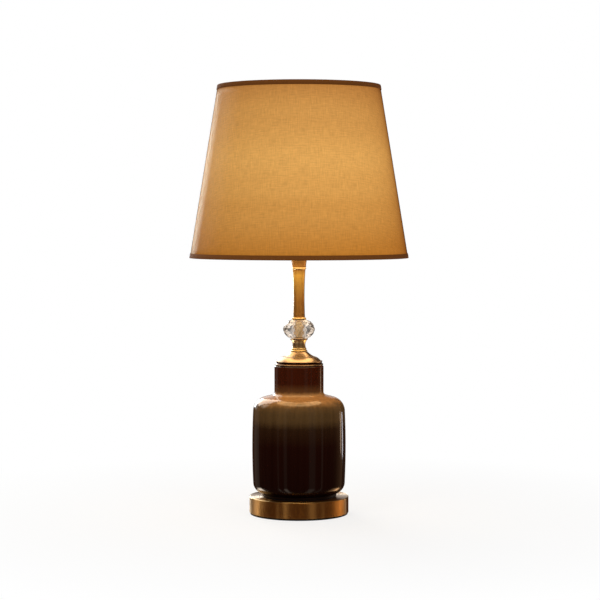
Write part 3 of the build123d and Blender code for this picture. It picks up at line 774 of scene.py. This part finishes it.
class LAMP_OT_brass(bpy.types.Operator):
    """Finish the turned brass of the base, the cap and the stem"""
    bl_idname = "lamp.brass"
    bl_label = "Brass"

    def execute(self, context):
        body = context.scene.lamp_body
        # Painted shade: the stem's foot and the cup under the shade's mouth get darker tints, and the stem's
        # top the brighter brushed tint as painted light from the shade's glow
        shaded_stem_foot = mixed(body.groove, body.aged, 0.66)
        shaded_cup = mixed(body.groove, body.aged, 0.52)
        # Painted highlight: the disc's upper edge is bright, partly rubbed brass and partly where it catches
        # the shade's light; its flat top is darker
        rubbed_edge_highlight = mixed(body.groove, body.bright, 0.88)
        darker_top = mixed(body.groove, body.aged, 0.5)
        cap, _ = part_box("bell_cap")
        _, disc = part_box("base_disc")
        # A dark band painted in the cove above the cap's rim
        groove_rise = 0.0028
        groove_half = 0.0015
        groove = (cap.z + groove_rise, groove_half, body.groove)
        rim = (disc.x, disc.z, rubbed_edge_highlight, darker_top)
        tints = [body.aged, shaded_stem_foot, body.brushed, shaded_cup]
        # Painted light: cap, cup, waist and rings are one polished brass; the waist and rings get the
        # lighter copy so they read as lit, the cap and cup the darker one
        polished = turned_brass(
            "polished_brass", [body.polished], roughness=0.32, ring_depth=0.03, spread=0.3, groove=groove,
        )
        bright = turned_brass("bright_brass", [body.bright], roughness=0.34, ring_depth=0.02, spread=0.0)
        brushed = turned_brass("brushed_brass", tints, roughness=0.30, ring_depth=0.08, spread=1.0, rim=rim)
        rod = turned_brass("brass_rod", [body.plain], roughness=0.14, ring_depth=0.02, spread=0.0)
        paint(polished, "bell_cap", "crystal_cup")
        paint(bright, "bead_ring", "waist", "crystal_collar", "stem_ring")
        paint(brushed, "base_disc", "stem", "stem_cup")
        paint(rod, "threaded_rod")
        return {"FINISHED"}


class LAMP_OT_crystal(bpy.types.Operator):
    """Finish the cut crystal bead"""
    bl_idname = "lamp.crystal"
    bl_label = "Crystal"

    def execute(self, context):
        paint(crystal(), "crystal")
        return {"FINISHED"}


class LAMP_OT_base_fittings(bpy.types.Operator):
    """Finish the pad, weight, bush, gaskets and fastening of the base"""
    bl_idname = "lamp.base_fittings"
    bl_label = "Base fittings"

    def execute(self, context):
        felt = speckled(
            "black_felt", (0.012, 0.011, 0.010), roughness=0.95, grain=2600.0, contrast=0.9, depth=0.6,
        )
        iron = speckled(
            "cast_iron", (0.06, 0.058, 0.055), roughness=0.7, grain=420.0, contrast=0.5, depth=0.5,
            metallic=0.6,
        )
        rubber = speckled(
            "black_rubber", (0.015, 0.015, 0.015), roughness=0.8, grain=1100.0, contrast=0.3, depth=0.2,
        )
        steel = speckled(
            "zinc_steel", (0.52, 0.53, 0.54), roughness=0.34, grain=800.0, contrast=0.22, depth=0.1,
            metallic=1.0,
        )
        paint(felt, "base_pad")
        paint(iron, "base_weight")
        paint(rubber, "cord_bush", "foot_gasket", "neck_gasket")
        paint(steel, "rod_washer", "rod_spring_washer", "rod_nut", "grub_screw")
        return {"FINISHED"}


class LAMP_OT_lampholder(bpy.types.Operator):
    """Finish the lampholder, its contacts, switch and shade ring, and the bulb's insulator"""
    bl_idname = "lamp.lampholder"
    bl_label = "Lampholder"

    def execute(self, context):
        body = context.scene.lamp_body
        phenolic = speckled(
            "black_phenolic", body.phenolic, roughness=0.38, grain=600.0, contrast=0.35, depth=0.08,
        )
        porcelain = speckled(
            "porcelain", (0.80, 0.78, 0.73), roughness=0.2, grain=500.0, contrast=0.08, depth=0.04,
        )
        ivory = speckled("ivory_plastic", body.ivory, roughness=0.32, grain=500.0, contrast=0.10, depth=0.05)
        stamped = turned_brass("plain_brass", [body.plain], roughness=0.30, ring_depth=0.06, spread=0.5)
        paint(phenolic, "holder_housing", "holder_skirt", "switch_block", "shade_ring", "bulb_insulator")
        paint(porcelain, "holder_insulator")
        paint(ivory, "push_bar")
        paint(stamped, "terminal_screws", "screw_shell", "centre_contact")
        return {"FINISHED"}


class LAMP_OT_bulb(bpy.types.Operator):
    """Finish the bulb"""
    bl_idname = "lamp.bulb"
    bl_label = "Bulb"

    def execute(self, context):
        plastic = speckled(
            "white_bulb_body", (0.82, 0.81, 0.78), roughness=0.35, grain=600.0, contrast=0.08, depth=0.05,
        )
        nickel = speckled(
            "nickel_cap", (0.62, 0.60, 0.56), roughness=0.25, grain=700.0, contrast=0.2, depth=0.08,
            metallic=1.0,
        )
        solder = speckled(
            "solder", (0.50, 0.50, 0.49), roughness=0.42, grain=900.0, contrast=0.3, depth=0.3,
            metallic=1.0,
        )
        paint(lit_envelope(context.scene.lamp_body), "bulb_envelope")
        paint(plastic, "bulb_body")
        paint(nickel, "bulb_cap")
        paint(solder, "bulb_contact")
        return {"FINISHED"}


# Stage

def soft_light(name, place, aim, size, power, tint=WHITE, shape="RECTANGLE", mirrored=True):
    """A flat soft light that faces a point. It shows in reflections if it is mirrored."""
    light = bpy.data.lights.new(name, "AREA")
    light.shape = shape
    light.size, light.size_y = size
    light.energy = power
    light.color = tint
    lamp = bpy.data.objects.new(name, light)
    lamp.location = place
    lamp.rotation_euler = (Vector(aim) - Vector(place)).to_track_quat("-Z", "Y").to_euler()
    lamp.visible_camera = False
    lamp.visible_glossy = mirrored
    lamp.visible_transmission = False
    bpy.context.scene.collection.objects.link(lamp)


def lay_floor(stage):
    """A round pale floor that keeps the lamp's shadow. It fades to white in the picture, and away in
    reflections."""
    gap_under_lamp = 0.0004
    mesh = bmesh.new()
    bmesh.ops.create_circle(mesh, cap_ends=True, segments=96, radius=stage.floor_radius)
    bmesh.ops.translate(mesh, verts=mesh.verts[:], vec=(0, 0, -gap_under_lamp))
    data = bpy.data.meshes.new("floor")
    mesh.to_mesh(data)
    mesh.free()
    floor = bpy.data.objects.new("floor", data)
    bpy.context.scene.collection.objects.link(floor)
    finish = material("pale_floor")
    place = finish.place()
    x, y, _ = finish.split(place)
    radius = (x * x + y * y) ** 0.5
    seen = finish.node("ShaderNodeLightPath", output="Is Camera Ray")
    white_near = 0.78
    whiter = seen * (white_near + radius.rise(start=0.10, width=0.45) * (1.0 - white_near))
    gone = (1.0 - seen) * radius.rise(start=0.045, width=0.02)
    grain = finish.noise(place, scale=60.0)
    lit = finish.principled(Base_Color=finish.shaded(stage.floor, 0.99 + grain * 0.02), Roughness=0.9)
    white = finish.node("ShaderNodeEmission", None, {"Color": solid(WHITE), "Strength": 1.0})
    clear = finish.node("ShaderNodeBsdfTransparent")
    pale = finish.blended(whiter, lit, white)
    data.materials.append(finish.done(finish.blended(gone, pale, clear)))


def upright(angle, low, panel):
    """How bright an upright panel of light is at an angle round the lamp."""
    middle, half, level, below = panel
    return abs(angle - middle).fall(half, PANEL_BLUR) * (level + low * below)


def light_world(stage):
    """A white backdrop behind the lamp, dim surroundings with upright panels of light in reflections, warm
    tints with glints through the crystal, and even light for everything else."""
    world = bpy.data.worlds.new("studio")
    bpy.context.scene.world = world
    finish = Finish(world)
    facing = finish.node("ShaderNodeTexCoord", output="Generated")
    right, back, up = finish.split(facing)
    seen = finish.node("ShaderNodeLightPath", output="Is Camera Ray")
    glossy = seen.output("Is Glossy Ray")
    through = seen.output("Is Transmission Ray")
    towards = back * 0.95 - right * 0.31
    backdrop = towards.rise(start=0.86, width=0.10) * up.rise(start=0.0, width=0.10)
    angle = right.math("ARCTAN2", right, 0.0 - back) * math.degrees(1.0)
    low = up.fall(end=-0.34, width=0.10)
    high = up.rise(start=0.30, width=0.18) * up.fall(end=0.70, width=0.08)
    high_panel = abs(angle + 116.0).fall(end=14.0, width=8.0) * high
    panels = high_panel * 2.0
    for panel in PANELS:
        panels = panels + upright(angle, low, panel)
    warming = angle.rise(start=94.0, width=42.0)
    warm = warming * upright(angle, low, WARM_PANEL) + upright(angle, low, WARM_CORE)
    streak = finish.lines(angle, scale=0.22, detail=2.0)
    dim = finish.mix(up.rise(start=-0.2, width=0.5), stage.dim_below, stage.dim_above)
    dim = finish.shaded(dim, 0.1 + streak * 1.6)
    dim = finish.mix(1.0, dim, finish.shaded(stage.panel, panels), "ADD")
    dim = finish.mix(1.0, dim, finish.shaded(stage.warm_panel, warm), "ADD")
    warmth = [
        (0.0, (0.53, 0.42, 0.32)),
        (0.45, (0.79, 0.69, 0.58)),
        (0.80, (0.96, 0.90, 0.83)),
        (0.97, (1.0, 0.98, 0.96)),
    ]
    glint = finish.noise(facing, scale=5.0, detail=1.0).rise(start=0.45, width=0.05)
    behind = finish.shaded(finish.ramp(abs(back), warmth), 0.20 + glint * 0.80)
    tint = finish.mix(glossy, (stage.sky,) * 3, finish.mix(backdrop, dim, WHITE))
    tint = finish.mix(through, tint, behind)
    tint = finish.mix(seen, tint, WHITE)
    finish.done(finish.node("ShaderNodeBackground", None, {"Color": tint, "Strength": 1.0}))


def stand_camera(stage):
    """The camera at the photograph's height, distance and tilt."""
    camera = bpy.data.cameras.new("camera")
    camera.lens = stage.lens
    camera.sensor_width = 36.0
    camera.clip_end = 30.0
    stand = bpy.data.objects.new("camera", camera)
    stand.location = (stage.camera_side, -stage.camera_distance, stage.camera_height)
    stand.rotation_euler = (math.pi / 2 - stage.tilt, 0.0, 0.0)
    bpy.context.scene.collection.objects.link(stand)
    bpy.context.scene.camera = stand


def hang_lights(stage):
    """Soft lights round the lamp, and the warm light that the bulb throws down out of the shade's mouth."""
    middle = (0.0, 0.0, 0.24)
    shade_middle = (0.0, 0.0, 0.42)
    foot = (0.0, 0.0, 0.04)
    mouth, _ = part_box("shade_bottom_edging")
    above_edge = 0.004
    share_of_mouth = 0.9
    in_mouth = (0.0, 0.0, mouth.z + above_edge)
    across = 2 * share_of_mouth * -mouth.x
    soft_light("key", (-1.10, -1.50, 1.55), middle, (0.40, 1.3), stage.key_power, mirrored=False)
    soft_light("fill", (1.05, -1.60, 1.45), middle, (0.70, 1.3), stage.fill_power, mirrored=False)
    soft_light("back", (-0.95, 1.55, 1.35), middle, (1.3, 1.3), stage.back_power, (1.0, 0.90, 0.78))
    soft_light("rim", (-0.62, 1.70, 0.45), shade_middle, (0.5, 0.5), stage.rim_power, (0.80, 0.92, 1.0))
    soft_light("glow", in_mouth, middle, (across, across), stage.glow_power, stage.glow, shape="DISK")
    soft_light("strip", (0.55, 0.33, 0.06), foot, (0.03, 0.13), stage.strip_power, (1.0, 0.72, 0.48))
    soft_light("side", (0.46, 0.40, 0.034), foot, (0.05, 0.09), stage.side_power, (0.95, 0.93, 1.0))


class LAMP_OT_stage(bpy.types.Operator):
    """Lay the floor, hang the studio lights and stand the camera"""
    bl_idname = "lamp.stage"
    bl_label = "Stage"

    def execute(self, context):
        stage = context.scene.lamp_stage
        lay_floor(stage)
        light_world(stage)
        hang_lights(stage)
        stand_camera(stage)
        context.scene.view_settings.view_transform = "Standard"
        return {"FINISHED"}


OPERATORS = (
    LAMP_OT_linen, LAMP_OT_ribbons, LAMP_OT_shade_frame, LAMP_OT_jar, LAMP_OT_brass, LAMP_OT_crystal,
    LAMP_OT_base_fittings, LAMP_OT_lampholder, LAMP_OT_bulb, LAMP_OT_stage,
)


class LAMP_PT_sidebar(bpy.types.Panel):
    """Sizes, colours and steps of the table lamp"""
    bl_idname = "LAMP_PT_sidebar"
    bl_label = "Table lamp"
    bl_space_type = "VIEW_3D"
    bl_region_type = "UI"
    bl_category = "Lamp"

    def draw(self, context):
        for operator in OPERATORS:
            self.layout.operator(operator.bl_idname)
        for group in (context.scene.lamp_shade, context.scene.lamp_body, context.scene.lamp_stage):
            box = self.layout.box()
            for name in group.__annotations__:
                box.prop(group, name)


SETTINGS = {
    "lamp_shade": LampShadeSettings,
    "lamp_body": LampBodySettings,
    "lamp_stage": LampStageSettings,
}
CLASSES = (*SETTINGS.values(), *OPERATORS, LAMP_PT_sidebar)


def register():
    for cls in CLASSES:
        bpy.utils.register_class(cls)
    for name, settings in SETTINGS.items():
        setattr(bpy.types.Scene, name, PointerProperty(type=settings))


def unregister():
    for name in SETTINGS:
        delattr(bpy.types.Scene, name)
    for cls in reversed(CLASSES):
        bpy.utils.unregister_class(cls)


def main():
    register()
    bpy.ops.lamp.linen()
    bpy.ops.lamp.ribbons()
    bpy.ops.lamp.shade_frame()
    bpy.ops.lamp.jar()
    bpy.ops.lamp.brass()
    bpy.ops.lamp.crystal()
    bpy.ops.lamp.base_fittings()
    bpy.ops.lamp.lampholder()
    bpy.ops.lamp.bulb()
    bpy.ops.lamp.stage()


if __name__ == "__main__":
    main()
